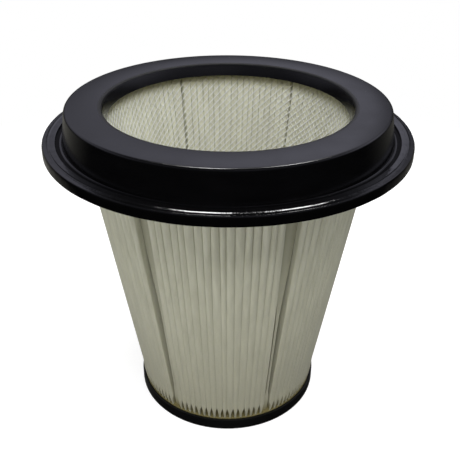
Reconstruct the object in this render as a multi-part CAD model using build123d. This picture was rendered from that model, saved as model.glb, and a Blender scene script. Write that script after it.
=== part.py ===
from build123d import *
import os
from math import cos, radians, sin, tan

# Conical pre-filter in millimetres. It stands on its closed bottom cap, with its axis on Z.

# Whole filter
overall_height = 364.2

# Bottom cap, a shallow cup
base_radius = 108.7
base_height = 14.2
base_wall = 2.8
base_floor = 3.0
base_bevel = 1.5

# Pleated media: panels of folded sheet, their ends turned out and glued together as a fin
panel_count = 6
folds_per_panel = 17
media_thickness = 0.8
pleat_depth = 24.9
pleat_flare = 54.05  # radius gained from the bottom cap's rim to the top of the pleats
seam_angle = 7.0  # degrees of each panel's share that its seam takes
top_fin_depth = 11.0  # from the outer folds in to the fin's edge, at the top
bottom_fin_depth = 2.5
first_seam = -64.5  # degrees from +X
top_valley = 0.6  # clear width at the foot of a valley, at the top
top_fold_bevel = 1.6
bottom_fold_hollow = 1.1  # clear width inside a fold, at the bottom
bottom_fold_bevel = 0.8
rim_clearance = 1.0  # between the outer folds and the bottom cap's rim

# Adhesive rings
bottom_potting_recess = 2.0  # below the rim of the bottom cap
top_potting_depth = 9.2

# Net liner inside the pleats
liner_sides = 20
liner_rows = 5
liner_thickness = 1.6
liner_clearance = 0.3
liner_strand = 6.0
liner_band = 4.0  # plain band at each end

# Top cap
cap_wall = 3.0
collar_clearance = 7.65  # between the outer folds and the inside of the collar, at the top
collar_height = 33.4
collar_flare = 5.1
collar_bevel = 2.0
mouth_bevel = 1.2
lip_depth = 13.3
lip_flare = 5.6
lip_gap = 0.5  # between the lip and the liner
flange_width = 15.3
flange_thickness = 3.3

# Rubber seal on the flange
seal_grip = 9.0
seal_wall = 5.0
seal_above = 3.0
seal_below = 5.5
seal_ridge = 6.2  # from the seal's outer edge in to its ridge
seal_crown = 0.7
seal_shoulder = 2.5

# Levels
potting_level = base_height - bottom_potting_recess
roof_level = overall_height - cap_wall
pleat_top = roof_level - top_potting_depth
lip_level = overall_height - lip_depth
flange_top = overall_height - collar_height
flange_bottom = flange_top - flange_thickness

# Angles
panel_angle = 360 / panel_count
fold_pitch = (panel_angle - seam_angle) / folds_per_panel
liner_pitch = 360 / liner_sides


def fold_radius(z):
    """Radius of the outer folds at a height."""
    at_rim = base_radius - base_wall - rim_clearance
    return at_rim + pleat_flare * (z - base_height) / (pleat_top - base_height)


def liner_radius(z):
    """Radius of the liner's outer corners at a height."""
    return fold_radius(z) - pleat_depth - liner_clearance


# Radii that follow from the pleats
liner_mouth = (liner_radius(pleat_top) - liner_thickness) * cos(radians(liner_pitch / 2))
collar_top_radius = fold_radius(pleat_top) + collar_clearance + cap_wall
collar_foot_radius = collar_top_radius + collar_flare
flange_radius = collar_foot_radius + flange_width
seal_inner_radius = flange_radius - seal_grip
seal_radius = flange_radius + seal_wall


def collar_radius(z):
    """Outer radius of the collar at a height."""
    return collar_top_radius + collar_flare * (overall_height - z) / collar_height


def lip_radius(z):
    """Inner radius of the mouth's lip at a height. The lip passes inside the liner's top edge."""
    return liner_mouth - lip_gap - cap_wall + lip_flare * (z - pleat_top) / lip_depth


def turn(points):
    """Solid turned about the axis from (radius, height) points."""
    outline = Polyline([(r, 0, z) for r, z in points], close=True)
    return revolve(make_face(outline), Axis.Z)


def flat_sided(low, high):
    """Solid with flat sides between two outlines that match point for point."""
    faces = [Face(Wire.make_polygon(low)), Face(Wire.make_polygon(high))]
    for here in range(len(low)):
        there = here - 1
        faces.append(Face(Wire.make_polygon([low[there], low[here], high[here], high[there]])))
    return Solid(Shell(faces))


def make_top_cap():
    return turn(
        [
            (lip_radius(overall_height - mouth_bevel), overall_height - mouth_bevel),
            (lip_radius(overall_height) + mouth_bevel, overall_height),
            (collar_top_radius - collar_bevel, overall_height),
            (collar_radius(overall_height - collar_bevel), overall_height - collar_bevel),
            (collar_foot_radius, flange_top),
            (flange_radius, flange_top),
            (flange_radius, flange_bottom),
            (collar_radius(flange_bottom) - cap_wall, flange_bottom),
            (collar_radius(roof_level) - cap_wall, roof_level),
            (lip_radius(roof_level) + cap_wall, roof_level),
            (lip_radius(lip_level) + cap_wall, lip_level),
            (lip_radius(lip_level), lip_level),
        ]
    )


def make_rim_seal():
    top = flange_top + seal_above
    bottom = flange_bottom - seal_below
    return turn(
        [
            (seal_inner_radius, flange_top),
            (flange_radius, flange_top),
            (flange_radius, flange_bottom),
            (seal_inner_radius, flange_bottom),
            (seal_inner_radius, bottom),
            (seal_radius, bottom),
            (seal_radius, top - seal_crown - seal_shoulder),
            (seal_radius - seal_shoulder, top - seal_crown),
            (seal_radius - seal_ridge, top),
            (seal_inner_radius, top - seal_crown),
        ]
    )


def make_bottom_cap():
    inside = base_radius - base_wall
    return turn(
        [
            (0, 0),
            (base_radius - base_bevel, 0),
            (base_radius, base_bevel),
            (base_radius, base_height),
            (inside, base_height),
            (inside, base_floor),
            (0, base_floor),
        ]
    )


def liner_corners(z, radius):
    """Corners of the liner's many-sided outline at a height."""
    angles = [radians(liner_pitch * side) for side in range(liner_sides)]
    return [Vector(radius * cos(angle), radius * sin(angle), z) for angle in angles]


def liner_cone(inset):
    """Solid cone with the liner's sides, set in from its outside."""
    low = liner_corners(base_floor, liner_radius(base_floor) - inset)
    high = liner_corners(pleat_top, liner_radius(pleat_top) - inset)
    return flat_sided(low, high)


def make_inner_liner():
    lowest = potting_level + liner_band
    row_height = (pleat_top - liner_band - lowest) / liner_rows
    gaps = []
    for row in range(2 * liner_rows - 1):
        middle = lowest + row_height * (row + 1) / 2
        cell_width = liner_radius(middle) * sin(radians(liner_pitch))
        cell_height = row_height / 2
        strand_share = liner_strand * (cell_width**2 + cell_height**2) ** 0.5 / (2 * cell_width * cell_height)
        half_width = cell_width * (1 - strand_share)
        half_height = cell_height * (1 - strand_share)
        diamond = Polyline(
            (0, -half_width, middle),
            (0, 0, middle - half_height),
            (0, half_width, middle),
            (0, 0, middle + half_height),
            close=True,
        )
        cutter = extrude(make_face(diamond), amount=liner_radius(pleat_top), dir=(1, 0, 0))
        for side in range(row % 2, liner_sides, 2):
            gaps.append(cutter.rotate(Axis.Z, liner_pitch * side))
    return liner_cone(0) - liner_cone(liner_thickness) - gaps


def make_bottom_potting():
    inside = base_radius - base_wall
    filling = turn([(0, base_floor), (inside, base_floor), (inside, potting_level), (0, potting_level)])
    return filling - liner_cone(0)


def make_top_potting():
    return turn(
        [
            (lip_radius(pleat_top) + cap_wall, pleat_top),
            (collar_radius(pleat_top) - cap_wall, pleat_top),
            (collar_radius(roof_level) - cap_wall, roof_level),
            (lip_radius(roof_level) + cap_wall, roof_level),
        ]
    )


def panel_outline(z, half_width, bevel, fin_depth):
    """Corners of one panel's folded sheet at a height, centred on +X: outer side, then back."""
    outer = fold_radius(z)
    inner = outer - pleat_depth
    floor = inner + media_thickness
    fin = outer - fin_depth
    seam = panel_angle / 2
    last = fold_pitch * (folds_per_panel - 1) / 2
    lean = radians(seam - last)
    inner_half = half_width - media_thickness
    half_bevel_angle = radians(45) / 2
    crown = outer - bevel - media_thickness * tan(half_bevel_angle)

    def at(angle, radial, across):
        """Point that lies out along a fold and across it."""
        turned = radians(angle)
        x = radial * cos(turned) - across * sin(turned)
        y = radial * sin(turned) + across * cos(turned)
        return Vector(x, y, z)

    def foot(level, across):
        """Where a wall of an end fold meets the floor beside the fin, measured along that fold."""
        return (level - across * sin(lean)) / cos(lean)

    out_feet = [floor] * (2 * folds_per_panel)
    in_feet = [inner] * (2 * folds_per_panel)
    out_feet[0] = out_feet[-1] = foot(floor, half_width)
    in_feet[0] = in_feet[-1] = foot(inner, inner_half)

    outside = [
        at(-seam, fin, 0),
        at(-seam, fin, media_thickness),
        at(-seam, floor, media_thickness),
    ]
    inside = [at(-seam, inner, 0)]
    for fold in range(folds_per_panel):
        angle = fold_pitch * fold - last
        outside += [
            at(angle, out_feet[2 * fold], -half_width),
            at(angle, outer - bevel, -half_width),
            at(angle, outer, bevel - half_width),
            at(angle, outer, half_width - bevel),
            at(angle, outer - bevel, half_width),
            at(angle, out_feet[2 * fold + 1], half_width),
        ]
        inside += [
            at(angle, in_feet[2 * fold], -inner_half),
            at(angle, crown, -inner_half),
            at(angle, crown, inner_half),
            at(angle, in_feet[2 * fold + 1], inner_half),
        ]
    outside += [
        at(seam, floor, -media_thickness),
        at(seam, fin, -media_thickness),
        at(seam, fin, 0),
    ]
    inside.append(at(seam, inner, 0))
    return outside + inside[::-1]


def make_media_panel():
    half_pitch = radians(fold_pitch / 2)
    valley_floor = fold_radius(pleat_top) - pleat_depth + media_thickness
    top_half_width = (valley_floor * sin(half_pitch) - top_valley / 2) / cos(half_pitch)
    bottom_half_width = bottom_fold_hollow / 2 + media_thickness
    low = panel_outline(potting_level, bottom_half_width, bottom_fold_bevel, bottom_fin_depth)
    high = panel_outline(pleat_top, top_half_width, top_fold_bevel, top_fin_depth)
    return flat_sided(low, high)


os.makedirs("parts", exist_ok=True)
export_step(make_top_cap(), "parts/top_cap.step")
export_step(make_rim_seal(), "parts/rim_seal.step")
export_step(make_bottom_cap(), "parts/bottom_cap.step")
export_step(make_bottom_potting(), "parts/bottom_potting.step")
export_step(make_top_potting(), "parts/top_potting.step")
export_step(make_inner_liner(), "parts/inner_liner.step")
panel = make_media_panel()
for number in range(panel_count):
    middle = first_seam + panel_angle * (number + 0.5)
    export_step(panel.rotate(Axis.Z, middle), f"parts/media_panel_{number + 1}.step")
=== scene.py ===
from math import cos, exp, hypot, pi, radians, sin, tan

import bpy
import numpy as np
from mathutils import Matrix, Vector


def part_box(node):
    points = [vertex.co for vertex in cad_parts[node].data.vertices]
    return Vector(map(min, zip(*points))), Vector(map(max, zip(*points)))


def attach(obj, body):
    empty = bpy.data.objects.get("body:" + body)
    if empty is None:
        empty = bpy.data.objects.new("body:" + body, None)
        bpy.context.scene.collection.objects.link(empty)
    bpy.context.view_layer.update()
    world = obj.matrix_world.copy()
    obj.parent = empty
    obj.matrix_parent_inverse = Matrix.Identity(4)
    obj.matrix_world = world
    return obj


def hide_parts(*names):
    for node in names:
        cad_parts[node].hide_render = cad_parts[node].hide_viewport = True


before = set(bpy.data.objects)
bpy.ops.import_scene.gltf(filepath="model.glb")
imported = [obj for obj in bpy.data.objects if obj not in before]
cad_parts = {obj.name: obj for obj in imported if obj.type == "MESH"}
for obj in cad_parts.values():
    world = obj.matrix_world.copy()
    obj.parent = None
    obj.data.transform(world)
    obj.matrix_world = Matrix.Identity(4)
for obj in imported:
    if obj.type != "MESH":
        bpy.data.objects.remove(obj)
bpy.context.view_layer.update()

# Lengths are in metres and angles in degrees
MM = 0.001
level_tolerance = 0.05 * MM
random_seed = 11

# Top cap: walls, and the bevels of the solid that wider roundings take the place of
cap_wall = 3.0 * MM
collar_height = 33.4 * MM
collar_bevel = 2.0 * MM
mouth_bevel = 1.2 * MM
lip_depth = 13.3 * MM
collar_edge = 2.6 * MM
mouth_edge = 1.5 * MM
foot_fillet = 0.8 * MM
small_edge = 0.7 * MM
shiny_strip = 2.2 * MM  # of the flange, beside the collar
wear_full = 1.0 * MM  # from the mouth outwards
wear_end = 4.0 * MM
wear_depth = 3.0 * MM
cap_sectors = 288

# Rubber seal
seal_grip = 9.0 * MM  # how far it covers the flange
seal_ridge = 6.2 * MM  # from the seal's side in to its ridge
seal_crown = 0.7 * MM  # how far its top falls from the ridge
seal_ripple = 0.1 * MM
seal_waves = (19, 31, 53, 87)  # round the ring
bead_height = 0.64 * MM  # of the line moulded along the ridge
bead_half_width = 1.6 * MM
bead_edge = 0.55 * MM
bead_inner_fillet = 0.4 * MM
bead_outer_fillet = 0.3 * MM
shoulder_width = 1.0 * MM
shoulder_height = 2.0 * MM
shoulder_edge = 0.5 * MM
seal_side_edge = 1.0 * MM
seal_inner_edge = 1.2 * MM
seal_foot_edge = 1.4 * MM
seal_sectors = 480

# Bottom cap
base_wall = 2.8 * MM
base_floor = 3.0 * MM
base_edge = 1.8 * MM
base_disc_radius = 60.0 * MM  # of the floor's middle, which is one face on each side
base_sectors = 224

# Pleated cloth
panel_count = 6
folds_per_panel = 17
top_seam_angle = 7.0
foot_seam_angle = 3.6
first_seam = -64.5
cloth_thickness = 0.8 * MM
cloth_rows = 44
row_power = 1.35  # over 1, so that the rows lie closer together at the foot

# Folds: at the top of the pleats they are loose and rounded, at the foot flat and pinched
top_gap = 0.03 * MM  # between neighbouring folds
foot_gap = 0.02 * MM
inner_gap = 0.06 * MM  # the same, seen from the inside
top_edge = 1.3 * MM
foot_edge = 0.14 * MM
most_edge_share = 0.9  # of a fold's half width that its rounded edge may take
inner_edge = 0.6 * MM
fold_crown = 3.3 * MM
foot_crown_share = 0.12
crown_edge_share = 0.5  # of a fold's half width that is rounded beside its crown
fold_tilt = 0.5 * MM  # how far one edge of a fold may stand out
fold_stand = 0.6 * MM  # how far a fold may stand in
foot_stand_share = 0.3
foot_shift = 0.05  # share of a fold's width by which its bounds are uneven
middle_shift = 0.1
top_shift = 0.17
most_shift = 0.3
pinched_fold = 2.4 * MM  # width of a fold at the bottom cap
pinch_start = 10.0 * MM  # height of the narrow foot, and of the taper above it
pinch_height = 9.0 * MM
bottom_bulge = 1.1 * MM
bulge_height = 10.0 * MM  # of its middle, above the bottom cap's rim
bulge_reach = 8.0 * MM

# Fins: a panel's ends are turned out along the seam, and their edges are turned over to both sides
top_fin_depth = 11.0 * MM  # from the outer folds in to the edge of a fin
foot_fin_depth = 2.5 * MM
fin_slit = 1.7 * MM  # half the gap between a fin's two flaps, at their foot
fin_weld = 0.3 * MM  # how far each flap is pressed into the other
fin_gap = 0.5 * MM  # between a fin's turned edge and the next fold
fin_edge = 0.3 * MM
fin_fillet = 1.2 * MM
turned_least = 0.3 * MM  # width of the turned edge before it spreads
turned_lean = 0.15  # how far it leans in, for each unit of width
least_spread = 0.22  # share of the room beside the fin that the turned edge always covers
spread_start = 0.3  # share of the pleats' height from which it opens towards the top
spread_rise = 0.45
foot_spread_end = 0.14  # and below which it opens towards the foot
foot_spread_fall = 0.09

# Marks in the cloth, and painted light and shade on it
# Painted light: the cloth is painted darker below this height and paler above that depth, to even out its
# lighting from top to bottom
painted_dark_full = 30.0 * MM  # height above the bottom cap
painted_pale_depth = 50.0 * MM  # distance below the top of the pleats
stain_height = 30.0 * MM  # of the adhesive drawn up into the foot
# Painted shade: between these depths into the gaps the foot's stain grows stronger
gap_shade_least = 0.3 * MM  # depths behind the outer folds
gap_shade_most = 2.2 * MM
# Depths behind the outer folds of the painted shade in the seams
seam_shade_start = 4.0 * MM
seam_shade_full = 10.0 * MM
seam_shade_fade = 20.0 * MM
seam_shade_end = 23.0 * MM
lip_shade_start = 16.0 * MM  # of the painted shade under the lip, coloured like adhesive, below the top of the pleats
lip_shade_full = 4.0 * MM
net_lip_shade_start = 15.0 * MM
net_lip_shade_full = 5.0 * MM

# Adhesive in the bottom cap
adhesive_lift = 0.4 * MM  # above the cap's floor
adhesive_inset = 0.2 * MM  # from the cap's wall
adhesive_overlap = 0.3 * MM  # past the inner folds, towards the liner
adhesive_ripple = 0.35 * MM
adhesive_waves = (13, 29, 47)  # round the ring
strip_foot = 1.9 * MM  # heights above the folds' ends of a strip round their feet
strip_top = 2.9 * MM
strip_back = 3.0 * MM
strip_top_inset = 0.5 * MM
strip_back_inset = 2.5 * MM
strip_foot_edge = 0.5 * MM
strip_top_edge = 0.4 * MM
strip_back_edge = 1.0 * MM
wick_height = 9.0 * MM  # how far it is drawn up behind the outer folds
wick_start = 9.0 * MM  # from the cap's wall
wick_end = 15.0 * MM
wick_edge = 3.0 * MM
sunk_depth = 0.4 * MM  # beside the liner, below the folds' ends
sunk_width = 2.0 * MM
sunk_edge = 0.8 * MM
adhesive_sectors = 360

# Net liner
net_strands = 98
net_inset = 1.0 * MM  # from the inner folds to the middle of the net
net_lean = 45.0
layer_offset = 0.42  # of a strand's depth, from the middle of the net to that of a layer
strand_width = 1.1 * MM
back_strand_width = 0.45 * MM
strand_depth = 0.6 * MM
strand_steps = 64
strand_sides = 6

# Camera, fitted to the rings in the photo
image_side = 460
focal_pixels = 690.2
sensor_width = 36.0
camera_place = Vector((0.00236, -0.69302, 0.60860))
camera_pitch = 30.065
camera_roll = 0.3127

# Floor and fill
floor_radius = 1.0
floor_sides = 96
floor_drop = 0.3 * MM  # below the object, so that the two faces don't coincide
floor_glow = 0.8
fill_strength = 0.32

# Detail of the meshes
corner_steps = 4  # along each rounded corner
most_cut = 0.48  # share of a straight run that one rounded corner may take
sharp_angle = 50.0


# Sizes read from the frame

def reach(node, level, pick):
    """Smallest or largest radius among a node's corners at a level."""
    corners = [v.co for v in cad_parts[node].data.vertices]
    return pick(hypot(c.x, c.y) for c in corners if abs(c.z - level) < level_tolerance)


cap_low, cap_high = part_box("top_cap")
seal_low, seal_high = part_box("rim_seal")
_, base_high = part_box("bottom_cap")
media_low, media_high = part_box("media_panel_1")

overall_height = cap_high.z
flange_radius = cap_high.x
flange_bottom = cap_low.z
flange_top = overall_height - collar_height
lip_level = overall_height - lip_depth
mouth_radius = reach("top_cap", overall_height, min) - mouth_bevel
lip_foot_radius = reach("top_cap", lip_level, min)
collar_top_radius = reach("top_cap", overall_height, max) + collar_bevel
collar_foot_radius = reach("top_cap", flange_top, min)
base_radius = base_high.x
base_height = base_high.z
pleat_height = media_high.z - media_low.z
fold_bottom = reach("media_panel_1", media_low.z, max)
fold_top = reach("media_panel_1", media_high.z, max)
pleat_depth = fold_top - reach("media_panel_1", media_high.z, min)
fold_slope = (fold_top - fold_bottom) / pleat_height
half_panel = radians(180 / panel_count)


def fold_radius(z):
    """Radius of the outer folds at a height."""
    return fold_bottom + fold_slope * (z - media_low.z)


# Materials

def set_value(shader, name, value):
    shader.inputs[name].default_value = value


def material(name, color, roughness, specular=0.5):
    """New material, its nodes, and its shader with plain values set."""
    made = bpy.data.materials.new(name)
    made.use_nodes = True
    tree = made.node_tree
    shader = tree.nodes["Principled BSDF"]
    set_value(shader, "Base Color", (*color, 1))
    set_value(shader, "Roughness", roughness)
    set_value(shader, "Specular IOR Level", specular)
    return made, tree, shader


def noise(tree, scale, detail=3.0, stretch=(1, 1, 1)):
    """Noise over the object's own coordinates, in metres."""
    place = tree.nodes.new("ShaderNodeTexCoord")
    mapping = tree.nodes.new("ShaderNodeMapping")
    mapping.inputs["Scale"].default_value = stretch
    made = tree.nodes.new("ShaderNodeTexNoise")
    made.inputs["Scale"].default_value = scale
    made.inputs["Detail"].default_value = detail
    tree.links.new(place.outputs["Object"], mapping.inputs["Vector"])
    tree.links.new(mapping.outputs["Vector"], made.inputs["Vector"])
    return made.outputs["Fac"]


def ramp(tree, factor, low, high):
    """Number that follows a factor between two (factor, number) pairs, and stays level past them."""
    made = tree.nodes.new("ShaderNodeMapRange")
    made.inputs["From Min"].default_value = low[0]
    made.inputs["From Max"].default_value = high[0]
    made.inputs["To Min"].default_value = low[1]
    made.inputs["To Max"].default_value = high[1]
    tree.links.new(factor, made.inputs["Value"])
    return made.outputs["Result"]


def blend(tree, factor, one, other):
    """Colour between two colours or colour outputs."""
    made = tree.nodes.new("ShaderNodeMix")
    made.data_type = "RGBA"
    tree.links.new(factor, made.inputs["Factor"])
    for socket, value in ((made.inputs[6], one), (made.inputs[7], other)):
        if isinstance(value, tuple):
            socket.default_value = (*value, 1)
        else:
            tree.links.new(value, socket)
    return made.outputs[2]


def calculate(tree, operation, one, other):
    """Result of a Math node's operation on two numbers or outputs."""
    made = tree.nodes.new("ShaderNodeMath")
    made.operation = operation
    for socket, value in zip(made.inputs, (one, other)):
        if isinstance(value, float):
            socket.default_value = value
        else:
            tree.links.new(value, socket)
    return made.outputs["Value"]


def product(tree, first, *others):
    """Product of several numbers or outputs."""
    for other in others:
        first = calculate(tree, "MULTIPLY", first, other)
    return first


def bump(tree, shader, height, strength, distance):
    made = tree.nodes.new("ShaderNodeBump")
    made.inputs["Strength"].default_value = strength
    made.inputs["Distance"].default_value = distance
    tree.links.new(height, made.inputs["Height"])
    tree.links.new(made.outputs["Normal"], shader.inputs["Normal"])


def from_axis(tree):
    """Outputs for the vector out from the axis, its length, and the height."""
    place = tree.nodes.new("ShaderNodeTexCoord")
    parts = tree.nodes.new("ShaderNodeSeparateXYZ")
    tree.links.new(place.outputs["Object"], parts.inputs["Vector"])
    flat = tree.nodes.new("ShaderNodeVectorMath")
    flat.operation = "MULTIPLY"
    flat.inputs[1].default_value = (1, 1, 0)
    tree.links.new(place.outputs["Object"], flat.inputs[0])
    across = tree.nodes.new("ShaderNodeVectorMath")
    across.operation = "LENGTH"
    tree.links.new(flat.outputs["Vector"], across.inputs[0])
    return flat.outputs["Vector"], across.outputs["Value"], parts.outputs["Z"]


def rim_wear(tree):
    """Extra roughness round the mouth's upper edge, where it is handled."""
    _, across, height = from_axis(tree)
    near_mouth = ramp(tree, across, (mouth_radius + wear_full, 0.5), (mouth_radius + wear_end, 0.0))
    near_top = ramp(tree, height, (overall_height - wear_depth, 0.0), (overall_height, 1.0))
    return product(tree, near_mouth, near_top)


def plastic_material(name, low, high, smoothest=0.17, roughest=0.27, specular=0.5):
    """Black moulded plastic, with a fine grain and faint handling marks."""
    made, tree, shader = material(name, low, smoothest, specular)
    marks = noise(tree, 34.0, 6.0, (1, 1, 2.5))
    color = blend(tree, marks, low, high)
    tree.links.new(color, shader.inputs["Base Color"])
    marked = ramp(tree, marks, (0.3, smoothest), (0.72, roughest))
    tree.links.new(calculate(tree, "ADD", marked, rim_wear(tree)), shader.inputs["Roughness"])
    bump(tree, shader, noise(tree, 2200.0, 2.0), 0.12, 0.05 * MM)
    return made


def rubber_material():
    """Black rubber with a shine, and a surface that isn't quite even."""
    made, tree, shader = material("black_rubber_shiny", (0.006, 0.006, 0.0065), 0.2)
    bloom = noise(tree, 60.0, 5.0)
    tree.links.new(ramp(tree, bloom, (0.35, 0.05), (0.7, 0.11)), shader.inputs["Roughness"])
    color = blend(tree, bloom, (0.001, 0.001, 0.0011), (0.0022, 0.0022, 0.0024))
    tree.links.new(color, shader.inputs["Base Color"])
    bump(tree, shader, noise(tree, 520.0, 3.0), 0.42, 0.3 * MM)
    return made


def felt_color(tree, fibres, height):
    """Off-white with soft mottling and paler fibres, painted darker lower down and paler higher up to even
    out the light, with stripes of painted shade along the folds.
    """
    mottle = noise(tree, 26.0, 4.0, (1, 1, 0.4))
    painted_paler = blend(tree, mottle, (0.67, 0.67, 0.52), (0.74, 0.74, 0.585))
    painted_darker = blend(tree, mottle, (0.47, 0.455, 0.335), (0.535, 0.52, 0.39))
    # painted light: darker low down and paler high up, evening out the light
    evening_share = ramp(tree, height, (base_height + painted_dark_full, 1.0), (media_high.z - painted_pale_depth, 0.0))
    pale = blend(tree, evening_share, painted_paler, painted_darker)
    # painted shade: soft darker stripes along the folds, standing in for their rounded shading
    fold_shade = ramp(tree, noise(tree, 150.0, 2.0, (1, 1, 0.03)), (0.4, 0.4), (0.62, 0.0))
    fold_shaded = blend(tree, fold_shade, pale, (0.45, 0.445, 0.34))
    return blend(tree, ramp(tree, fibres, (0.35, 0.0), (0.75, 0.22)), fold_shaded, (0.68, 0.675, 0.55))


def foot_stain_and_shade(tree, depth, height):
    """Share of adhesive drawn up into the cloth at its foot, with painted shade making it stronger deeper
    between the folds.
    """
    # painted shade: deeper into the gaps between folds, the stain is stronger
    gap_shade = ramp(tree, depth, (gap_shade_least, 0.32), (gap_shade_most, 1.0))
    low = ramp(tree, height, (base_height, 1.0), (base_height + stain_height, 0.0))
    return product(tree, low, low, gap_shade)


def seam_shade(tree, flat, depth):
    """Share of painted shade, dark olive, on the cloth that faces out in a seam's recess beside a fin's
    foot.
    """
    deep = ramp(tree, depth, (seam_shade_start, 0.0), (seam_shade_full, 1.0))
    not_through = ramp(tree, depth, (seam_shade_fade, 1.0), (seam_shade_end, 0.0))
    surface = tree.nodes.new("ShaderNodeNewGeometry")
    facing = tree.nodes.new("ShaderNodeVectorMath")
    facing.operation = "DOT_PRODUCT"
    tree.links.new(surface.outputs["True Normal"], facing.inputs[0])
    tree.links.new(flat, facing.inputs[1])
    outside = ramp(tree, facing.outputs["Value"], (0.0, 0.0), (0.03, 1.0))
    return product(tree, deep, not_through, outside)


def cloth_material():
    """Off-white felted cloth: short fibres, soft mottling, adhesive at the foot, and painted light and
    shade along the height, the folds, the seams, under the lip and in the foot's gaps.
    """
    made, tree, shader = material("felted_cloth", (0.56, 0.555, 0.45), 0.92, 0.2)
    set_value(shader, "Sheen Weight", 0.08)
    set_value(shader, "Subsurface Weight", 0.5)
    set_value(shader, "Subsurface Radius", (1, 1, 0.85))
    set_value(shader, "Subsurface Scale", 2.5 * MM)
    fibres = noise(tree, 1300.0, 6.0, (1, 1, 0.35))
    flat, across, height = from_axis(tree)
    outer = ramp(tree, height, (media_low.z, fold_bottom), (media_high.z, fold_top))
    depth = calculate(tree, "SUBTRACT", outer, across)
    # painted shade: a darker, yellowed band below the top of the pleats, where the lip shades the inside
    lip_shaded = ramp(tree, height, (media_high.z - lip_shade_start, 0.0), (media_high.z - lip_shade_full, 1.0))
    color = felt_color(tree, fibres, height)
    # painted shade: the seams' recesses darkened to olive
    color = blend(tree, seam_shade(tree, flat, depth), color, (0.34, 0.335, 0.245))
    color = blend(tree, lip_shaded, color, (0.36, 0.345, 0.2))
    # adhesive at the foot, with painted shade deepening it in the gaps between folds
    color = blend(tree, foot_stain_and_shade(tree, depth, height), color, (0.21, 0.18, 0.06))
    tree.links.new(color, shader.inputs["Base Color"])
    bump(tree, shader, fibres, 0.35, 0.12 * MM)
    return made


def net_material():
    """White extruded plastic net, slightly glossy, with painted shade under the lip on it at the top,
    coloured like adhesive.
    """
    made, tree, shader = material("white_net_plastic", (0.78, 0.8, 0.8), 0.38)
    uneven = noise(tree, 240.0, 3.0)
    white = blend(tree, uneven, (0.71, 0.72, 0.72), (0.79, 0.8, 0.79))
    _, _, height = from_axis(tree)
    # painted shade: the net's top darkened and yellowed where the lip shades it
    lip_shaded = ramp(tree, height, (media_high.z - net_lip_shade_start, 0.0), (media_high.z - net_lip_shade_full, 0.9))
    tree.links.new(blend(tree, lip_shaded, white, (0.36, 0.33, 0.19)), shader.inputs["Base Color"])
    tree.links.new(ramp(tree, uneven, (0.3, 0.3), (0.7, 0.46)), shader.inputs["Roughness"])
    bump(tree, shader, uneven, 0.3, 0.1 * MM)
    return made


def adhesive_material():
    """Amber casting adhesive, set hard, with bubbles and flow marks."""
    made, tree, shader = material("amber_adhesive_cast", (0.26, 0.19, 0.085), 0.3)
    flow = noise(tree, 70.0, 5.0)
    color = blend(tree, flow, (0.17, 0.145, 0.055), (0.25, 0.215, 0.095))
    tree.links.new(color, shader.inputs["Base Color"])
    tree.links.new(ramp(tree, flow, (0.3, 0.22), (0.7, 0.42)), shader.inputs["Roughness"])
    bump(tree, shader, noise(tree, 120.0, 4.0), 0.5, 0.8 * MM)
    return made


# Meshes

def rounded(corners, closed):
    """Points along straight runs, with each (x, y, cut) corner cut off by a curve."""
    points = []
    count = len(corners)
    for index, (x, y, cut) in enumerate(corners):
        here = np.array((x, y))
        is_end = not closed and index in (0, count - 1)
        if is_end or cut == 0:
            points.append(here)
            continue
        back = np.array(corners[index - 1][:2]) - here
        ahead = np.array(corners[(index + 1) % count][:2]) - here
        start = here + back * min(cut / np.hypot(*back), most_cut)
        end = here + ahead * min(cut / np.hypot(*ahead), most_cut)
        for step in np.linspace(0, 1, corner_steps + 1):
            points.append((1 - step) ** 2 * start + 2 * step * (1 - step) * here + step**2 * end)
    return np.array(points)


def add_piece(name, points, faces, skin, slot, *nodes):
    """New object on the part's one body, in place of the named nodes."""
    mesh = bpy.data.meshes.new(name)
    mesh.from_pydata(np.asarray(points).tolist(), [], [list(face) for face in faces])
    mesh.validate()
    mesh.shade_smooth()
    mesh.set_sharp_from_angle(angle=radians(sharp_angle))
    mesh.materials.append(skin)
    piece = bpy.data.objects.new(name, mesh)
    bpy.context.scene.collection.objects.link(piece)
    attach(piece, "root")
    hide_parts(*nodes)
    return piece


def ring_faces(rings, around):
    """Quads between neighbouring rings of points, each ring closed on itself."""
    here = np.arange(around)
    ahead = (here + 1) % around
    quad = np.stack([here, ahead, around + ahead, around + here], axis=1)
    return np.concatenate([quad + ring * around for ring in range(rings - 1)])


def turned(outline, sectors, ripple=None):
    """Points and faces of a closed (radius, height) outline turned about the axis."""
    around = len(outline)
    radius, height = outline.T
    rings = []
    for angle in np.linspace(0, 2 * pi, sectors, endpoint=False):
        out, up = ripple(angle) if ripple else (0.0, 0.0)
        r = radius + out
        rings.append(np.stack([r * cos(angle), r * sin(angle), height + up], axis=1))
    faces = ring_faces(sectors + 1, around) % (sectors * around)
    return np.concatenate(rings), faces


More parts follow.
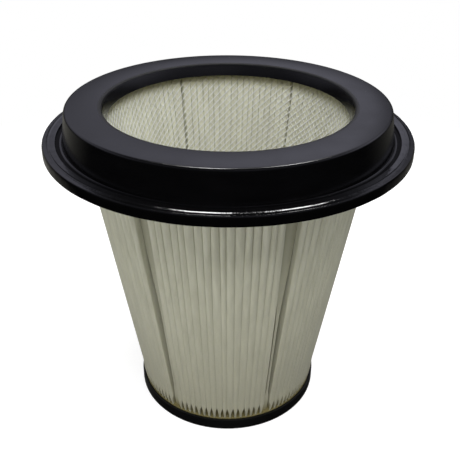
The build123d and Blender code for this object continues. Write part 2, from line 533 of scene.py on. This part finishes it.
def make_top_cap(skin, flange_shade_skin):
    """Lip, flat ring, collar and flange, with painted shade on the flange's outer part: a material that all
    but stops reflecting.
    """
    roof = overall_height - cap_wall
    flange_shade_radius = collar_foot_radius + shiny_strip
    collar_slope = (collar_foot_radius - collar_top_radius) / collar_height
    lip_slope = (mouth_radius - lip_foot_radius) / lip_depth

    def collar_inside(z):
        return collar_top_radius + collar_slope * (overall_height - z) - cap_wall

    def lip_outside(z):
        return lip_foot_radius + lip_slope * (z - lip_level) + cap_wall

    outline = rounded(
        [
            (lip_foot_radius, lip_level, small_edge),
            (mouth_radius, overall_height, mouth_edge),
            (collar_top_radius, overall_height, collar_edge),
            (collar_foot_radius, flange_top, foot_fillet),
            (flange_shade_radius, flange_top, 0),
            (flange_radius, flange_top, small_edge),
            (flange_radius, flange_bottom, small_edge),
            (collar_inside(flange_bottom), flange_bottom, small_edge),
            (collar_inside(roof), roof, foot_fillet),
            (lip_outside(roof), roof, small_edge),
            (lip_outside(lip_level), lip_level, small_edge),
        ],
        closed=True,
    )
    points, faces = turned(outline, cap_sectors)
    piece = add_piece("cap_moulding", points, faces[:, ::-1], skin, "black_plastic", "top_cap")
    piece.data.materials.append(flange_shade_skin)
    # painted shade on the flange past the shiny strip
    for face in piece.data.polygons:
        if hypot(face.center.x, face.center.y) > flange_shade_radius:
            face.material_index = 1
    return piece


def make_seal(skin):
    """Rubber ring round the flange's edge, with a bead along its ridge and a slight unevenness."""
    rng = np.random.default_rng(random_seed)
    waves = [(count, rng.uniform(0, 2 * pi), rng.uniform(0, 2 * pi)) for count in seal_waves]

    def ripple(angle):
        out = sum(sin(count * angle + turn) for count, turn, _ in waves)
        up = sum(sin(count * angle + turn) for count, _, turn in waves)
        return -seal_ripple * (1 + out / len(waves)), -seal_ripple * (1 + up / len(waves))

    inner = flange_radius - seal_grip
    outer, top, bottom = seal_high.x - seal_ripple, seal_high.z, seal_low.z
    ridge = outer - seal_ridge
    outline = rounded(
        [
            (inner, flange_top, 0),
            (inner, top - seal_crown, seal_inner_edge),
            (ridge - bead_half_width, top - bead_height, bead_inner_fillet),
            (ridge, top, bead_edge),
            (ridge + bead_half_width, top - bead_height, bead_outer_fillet),
            (outer - shoulder_width, top - seal_crown, shoulder_edge),
            (outer, top - seal_crown - shoulder_height, seal_side_edge),
            (outer, bottom, seal_foot_edge),
            (inner, bottom, small_edge),
            (inner, flange_bottom, 0),
            (flange_radius, flange_bottom, 0),
            (flange_radius, flange_top, 0),
        ],
        closed=True,
    )
    points, faces = turned(outline, seal_sectors, ripple)
    return add_piece("seal_ring", points, faces[:, ::-1], skin, "black_rubber", "rim_seal")


def make_bottom_cap(skin):
    """Shallow cup: a turned wall and floor, closed in the middle by a disc on each side."""
    inside = base_radius - base_wall
    outline = rounded(
        [
            (base_disc_radius, 0.0, 0),
            (base_radius, 0.0, base_edge),
            (base_radius, base_height, small_edge),
            (inside, base_height, small_edge),
            (inside, base_floor, small_edge),
            (base_disc_radius, base_floor, 0),
        ],
        closed=True,
    )
    around = len(outline)
    points, faces = turned(outline, base_sectors)
    sides = faces.reshape(base_sectors, around, 4)[:, :-1].reshape(-1, 4)
    underside = np.arange(base_sectors) * around
    discs = [underside[::-1], underside + around - 1]
    return add_piece("bottom_cup", points, [*sides, *discs], skin, "black_plastic", "bottom_cap")


def make_adhesive(skin):
    """Adhesive cast into the bottom cap, with a strip round the folds' feet and drawn up behind them."""
    rng = np.random.default_rng(random_seed)
    waves = [(count, rng.uniform(0, 2 * pi)) for count in adhesive_waves]

    def ripple(angle):
        return 0.0, adhesive_ripple * sum(sin(count * angle + turn) for count, turn in waves) / len(waves)

    wall = base_radius - base_wall
    liner = fold_radius(base_floor) - pleat_depth - adhesive_overlap
    floor = base_floor + adhesive_lift
    level = media_low.z
    outline = rounded(
        [
            (liner, floor, 0),
            (wall - adhesive_inset, floor, 0),
            (wall - adhesive_inset, level + strip_foot, strip_foot_edge),
            (wall - strip_top_inset, level + strip_top, strip_top_edge),
            (wall - strip_back_inset, level + strip_back, strip_back_edge),
            (wall - wick_start, level + wick_height, wick_edge),
            (wall - wick_end, level + wick_height, wick_edge),
            (liner + sunk_width, level - sunk_depth, sunk_edge),
        ],
        closed=True,
    )
    points, faces = turned(outline, adhesive_sectors, ripple)
    return add_piece("cast_adhesive", points, faces, skin, "amber_adhesive", "bottom_potting")


def smooth(value):
    """Soft step from 0 to 1."""
    value = min(max(value, 0.0), 1.0)
    return value * value * (3 - 2 * value)


def between(low, high, share):
    """Value part of the way from one to another."""
    return low + (high - low) * share


def corner(angle, radial, across, cut):
    """Corner (x, y, cut) at a distance along the line at an angle, and to one side of it."""
    x = radial * cos(angle) - across * sin(angle)
    y = radial * sin(angle) + across * cos(angle)
    return x, y, cut


def inner_fold_radius(z):
    """Radius at which the middle of the cloth's thickness turns on the inside."""
    return fold_radius(z) - pleat_depth + cloth_thickness / 2


def fin_corners(z, share, room, hand):
    """Corners of a panel's end, from the turned edge of its fin in to the fin's foot.

    room is the angle between the seam and the next fold. hand is 1 or -1, for the panel's two ends.
    """
    fin = fold_radius(z) - between(foot_fin_depth, top_fin_depth, share)
    flap = cloth_thickness / 2 - fin_weld
    opened_above = smooth((share - spread_start) / spread_rise)
    opened_below = smooth((foot_spread_end - share) / foot_spread_fall)
    spread = max(least_spread, opened_above, opened_below)
    edge = flap + turned_least + (fin * room - fin_gap - flap) * spread
    seam = -hand * half_panel
    return [
        corner(seam, fin - turned_lean * edge, hand * edge, 0),
        corner(seam, fin, hand * flap, fin_edge),
        corner(seam, inner_fold_radius(z), hand * (flap + fin_slit), fin_fillet),
    ]


def one_fold(z, share, left, right, stand, tilt):
    """Corners of the fold between two angles, from its inner foot over the tip and back."""
    looseness = share**2
    pinch = smooth((z - media_low.z - pinch_start) / pinch_height)
    bulge = bottom_bulge * exp(-(((z - base_height - bulge_height) / bulge_reach) ** 2))
    angle, half_pitch = (left + right) / 2, (right - left) / 2
    inner = inner_fold_radius(z)
    inner_half = (inner_gap + cloth_thickness) / 2
    tip = fold_radius(z) + bulge - cloth_thickness / 2
    tip -= stand * pinch * between(foot_stand_share, 1.0, looseness)
    edge = between(foot_edge, top_edge, looseness)
    gap = between(foot_gap, top_gap, looseness)
    full_half = (tip - edge) * half_pitch - (gap + cloth_thickness) / 2
    tip_half = between((pinched_fold - cloth_thickness) / 2, full_half, pinch)
    edge = min(edge, most_edge_share * tip_half)
    crown = between(foot_crown_share, 1.0, looseness) * fold_crown * tip_half / full_half
    lean = tilt * looseness * pinch
    return [
        corner(angle, inner, -inner_half, inner_edge),
        corner(angle, tip - crown - lean, -tip_half, edge),
        corner(angle, tip, 0, crown_edge_share * tip_half),
        corner(angle, tip - crown + lean, tip_half, edge),
        corner(angle, inner, inner_half, inner_edge),
    ]


def panel_corners(z, share, bounds, stands, tilts):
    """Corners (x, y, cut) of one panel's cloth at a height, about its own middle."""
    corners = fin_corners(z, share, bounds[0] + half_panel, 1)
    for left, right, stand, tilt in zip(bounds[:-1], bounds[1:], stands, tilts):
        corners += one_fold(z, share, left, right, stand, tilt)
    return corners + fin_corners(z, share, half_panel - bounds[-1], -1)[::-1]


def thickened(path):
    """Closed loop of points half a cloth's thickness to each side of a path."""
    along = np.gradient(path, axis=0)
    along /= np.hypot(along[:, 0], along[:, 1])[:, None]
    side = np.stack([along[:, 1], -along[:, 0]], axis=1) * cloth_thickness / 2
    return np.concatenate([path + side, (path - side)[::-1]])


def fold_bounds(rng):
    """Angles between the folds of one panel at the foot, the middle and the top, none quite even."""
    made = []
    middle_seam_angle = (foot_seam_angle + top_seam_angle) / 2
    levels = ((foot_seam_angle, foot_shift), (middle_seam_angle, middle_shift), (top_seam_angle, top_shift))
    for seam_angle, shift in levels:
        half = radians((360 / panel_count - seam_angle) / 2)
        even = np.linspace(-half, half, folds_per_panel + 1)
        pitch = even[1] - even[0]
        made.append(even + pitch * np.clip(rng.normal(0, shift, len(even)), -most_shift, most_shift))
    return made


def panel_points(number):
    """Loops of points round one panel's cloth, from the foot up, each fold a little different."""
    rng = np.random.default_rng(random_seed + number)
    foot, middle, top = fold_bounds(rng)
    stands = rng.uniform(0, fold_stand, folds_per_panel)
    tilts = rng.uniform(-fold_tilt, fold_tilt, folds_per_panel)
    turn = radians(first_seam + 360 / panel_count * (number - 0.5))
    spin = np.array(((cos(turn), sin(turn)), (-sin(turn), cos(turn))))
    loops = []
    for row in np.linspace(0, 1, cloth_rows):
        share = row**row_power
        z = media_low.z + pleat_height * share
        bounds = (1 - share) ** 2 * foot + 2 * share * (1 - share) * middle + share**2 * top
        path = rounded(panel_corners(z, share, bounds, stands, tilts), closed=False)
        loop = thickened(path) @ spin
        loops.append(np.column_stack([loop, np.full(len(loop), z)]))
    return loops


def make_panel(number, skin):
    """One panel of pleated cloth, closed along its lower and upper ends."""
    loops = panel_points(number)
    around = len(loops[0])
    sides = ring_faces(cloth_rows, around)
    near = np.arange(around // 2 - 1)
    far = around - 1 - near
    low_end = np.stack([near, far, far - 1, near + 1], axis=1)
    high_end = low_end[:, ::-1] + around * (cloth_rows - 1)
    faces = np.concatenate([sides, low_end, high_end])
    name = f"pleats_{number}"
    piece = add_piece(name, np.concatenate(loops), faces, skin, "filter_cloth", f"media_panel_{number}")
    return piece


def strand_points(inset, width, start, hand):
    """Rings of points round one strand, which climbs the liner's cone at a steady lean."""
    z = np.linspace(base_floor, media_high.z, strand_steps)
    radius = fold_radius(z) - pleat_depth - net_inset - inset
    climb = tan(radians(net_lean)) * hypot(1, fold_slope) / fold_slope
    angle = start + hand * climb * np.log(radius / radius[0])
    middle = np.stack([radius * np.cos(angle), radius * np.sin(angle), z], axis=1)
    along = np.gradient(middle, axis=0)
    along /= np.linalg.norm(along, axis=1)[:, None]
    out = np.stack([np.cos(angle), np.sin(angle), np.full_like(z, -fold_slope)], axis=1)
    out /= np.linalg.norm(out, axis=1)[:, None]
    side = np.cross(out, along)
    rings = []
    for turn in np.linspace(0, 2 * pi, strand_sides, endpoint=False):
        rings.append(middle + side * width / 2 * cos(turn) + out * strand_depth / 2 * sin(turn))
    return np.stack(rings, axis=1).reshape(-1, 3)


def make_net(skin):
    """Net of two layers of strands, one leaning each way and pressed together."""
    strands = []
    for hand, width in ((1, back_strand_width), (-1, strand_width)):
        inset = -hand * strand_depth * layer_offset
        for start in 2 * pi * np.arange(net_strands) / net_strands:
            strands.append(strand_points(inset, width, start, hand))
    tube = ring_faces(strand_steps, strand_sides)
    faces = np.concatenate([tube + len(strand) * index for index, strand in enumerate(strands)])
    return add_piece("net_liner", np.concatenate(strands), faces, skin, "white_net", "inner_liner")


# Studio

def add_light(name, place, target, size, power, mirrored):
    """Square lamp turned to a target, which the object mirrors or not."""
    lamp = bpy.data.lights.new(name, "AREA")
    lamp.shape = "SQUARE"
    lamp.size = size
    lamp.energy = power
    light = bpy.data.objects.new(name, lamp)
    light.location = place
    light.rotation_euler = (Vector(target) - Vector(place)).to_track_quat("-Z", "Y").to_euler()
    light.visible_glossy = mirrored
    bpy.context.scene.collection.objects.link(light)


def add_lights():
    """Wide lamps for the cloth, and two small ones that draw the bright lines on the seal."""
    low, middle, high = (0, 0, 0.2), (0, 0, 0.25), (0, 0, 0.3)
    add_light("key", (-1.9, -0.9, 0.4), low, size=1.2, power=7.4, mirrored=False)
    add_light("front", (-0.2, -2.1, 0.2), middle, size=0.9, power=6.5, mirrored=False)
    add_light("high_front", (0.12, -0.6, 1.75), high, size=1.2, power=28.5, mirrored=False)
    add_light("behind", (0.1, 2.1, 0.32), low, size=0.9, power=10.0, mirrored=False)
    add_light("overhead_left", (-0.16, 0.42, 1.8), high, size=0.32, power=9.0, mirrored=True)
    add_light("overhead_right", (0.46, 0.48, 1.74), high, size=0.32, power=8.0, mirrored=True)


def room_strength(tree, across, back, up):
    """Brightness of the room that the object mirrors: a pale band of wall, and a dim table behind."""
    wall = ramp(tree, up, (0.13, 0.0), (0.5, 0.81))
    ceiling = ramp(tree, up, (0.55, 1.0), (0.75, 0.08))
    behind = ramp(tree, back, (-0.5, 0.3), (0.2, 1.0))
    left = ramp(tree, across, (-0.25, 0.62), (0.05, 1.0))
    right_side = ramp(tree, across, (0.205, 1.0), (0.26, 0.35))
    far_side = ramp(tree, back, (0.6, 1.0), (0.8, 0.35))
    right = calculate(tree, "MAXIMUM", right_side, far_side)
    lit = product(tree, wall, ceiling, behind, left, right)
    table_depth = ramp(tree, back, (0.2, 0.0), (0.8, 0.22))
    table_height = ramp(tree, up, (-0.05, 1.0), (0.12, 0.0))
    table_width = ramp(tree, across, (-0.2, 1.0), (0.2, 0.5))
    return calculate(tree, "ADD", lit, product(tree, table_depth, table_height, table_width))


def add_world():
    """White to the camera; mirrored by the object, a room that is dark below and pale above."""
    world = bpy.data.worlds.new("studio")
    world.use_nodes = True
    bpy.context.scene.world = world
    tree = world.node_tree
    backdrop = tree.nodes["Background"]
    place = tree.nodes.new("ShaderNodeTexCoord")
    parts = tree.nodes.new("ShaderNodeSeparateXYZ")
    tree.links.new(place.outputs["Generated"], parts.inputs["Vector"])
    across, back, up = parts.outputs
    path = tree.nodes.new("ShaderNodeLightPath")
    upper = ramp(tree, up, (0.05, 0.0), (0.2, 1.0))
    mirror_tint = blend(tree, upper, (1.03, 1.0, 0.9), (0.96, 0.96, 1.16))
    tint = blend(tree, path.outputs["Is Glossy Ray"], (1.0, 1.0, 1.0), mirror_tint)
    tree.links.new(tint, backdrop.inputs["Color"])
    mirrored = product(tree, room_strength(tree, across, back, up), path.outputs["Is Glossy Ray"])
    filling = product(tree, path.outputs["Is Diffuse Ray"], fill_strength)
    unseen = calculate(tree, "ADD", mirrored, filling)
    shown = calculate(tree, "MAXIMUM", unseen, path.outputs["Is Camera Ray"])
    tree.links.new(shown, backdrop.inputs["Strength"])


def floor_material():
    """Paint that is near white to the camera, greyer to other rays, and clear from below."""
    made, tree, shader = material("floor_paint", (0.4, 0.4, 0.4), 0.9, 0.0)
    set_value(shader, "Emission Color", (1, 1, 1, 1))
    path = tree.nodes.new("ShaderNodeLightPath")
    color = blend(tree, path.outputs["Is Camera Ray"], (0.18, 0.18, 0.18), (0.4, 0.4, 0.4))
    tree.links.new(color, shader.inputs["Base Color"])
    glow = product(tree, path.outputs["Is Camera Ray"], floor_glow)
    tree.links.new(glow, shader.inputs["Emission Strength"])
    surface = tree.nodes.new("ShaderNodeNewGeometry")
    clear = tree.nodes.new("ShaderNodeBsdfTransparent")
    either = tree.nodes.new("ShaderNodeMixShader")
    tree.links.new(surface.outputs["Backfacing"], either.inputs["Fac"])
    tree.links.new(shader.outputs["BSDF"], either.inputs[1])
    tree.links.new(clear.outputs["BSDF"], either.inputs[2])
    tree.links.new(either.outputs["Shader"], tree.nodes["Material Output"].inputs["Surface"])
    return made


def add_floor():
    """Pale round floor, which keeps the object's shadow."""
    mesh = bpy.data.meshes.new("floor")
    angles = 2 * pi * np.arange(floor_sides) / floor_sides
    ring = [(floor_radius * cos(angle), floor_radius * sin(angle), -floor_drop) for angle in angles]
    mesh.from_pydata(ring, [], [list(range(floor_sides))])
    mesh.materials.append(floor_material())
    floor = bpy.data.objects.new("floor", mesh)
    floor.visible_glossy = False
    bpy.context.scene.collection.objects.link(floor)


def add_camera():
    camera = bpy.data.cameras.new("camera")
    camera.sensor_width = sensor_width
    camera.lens = focal_pixels * sensor_width / image_side
    eye = bpy.data.objects.new("camera", camera)
    tilt = Matrix.Rotation(radians(90 - camera_pitch), 4, "X")
    roll = Matrix.Rotation(radians(camera_roll), 4, "Z")
    eye.matrix_world = Matrix.Translation(camera_place) @ tilt @ roll
    bpy.context.scene.collection.objects.link(eye)
    bpy.context.scene.camera = eye


def dress(node, skin):
    """Give a carried-over solid its material."""
    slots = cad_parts[node].data.materials
    slots.clear()
    slots.append(skin)


cap_plastic = plastic_material("black_plastic_satin", (0.001, 0.001, 0.0012), (0.0022, 0.0022, 0.0025))
# painted shade: the flange's outer part all but loses its reflection, so it reads dark beside the seal
flange_shade_plastic = plastic_material(
    "black_plastic_flange_shade", (0.001, 0.001, 0.0012), (0.0022, 0.0022, 0.0025), specular=0.02
)
cup_plastic = plastic_material(
    "black_plastic_worn", (0.004, 0.004, 0.004), (0.0075, 0.0075, 0.0075), smoothest=0.42, roughest=0.55
)
cloth = cloth_material()
adhesive = adhesive_material()
make_top_cap(cap_plastic, flange_shade_plastic)
make_bottom_cap(cup_plastic)
make_seal(rubber_material())
make_adhesive(adhesive)
for number in range(1, panel_count + 1):
    make_panel(number, cloth)
make_net(net_material())
dress("top_potting", adhesive)

add_camera()
add_lights()
add_world()
add_floor()
bpy.context.scene.view_settings.view_transform = "Standard"
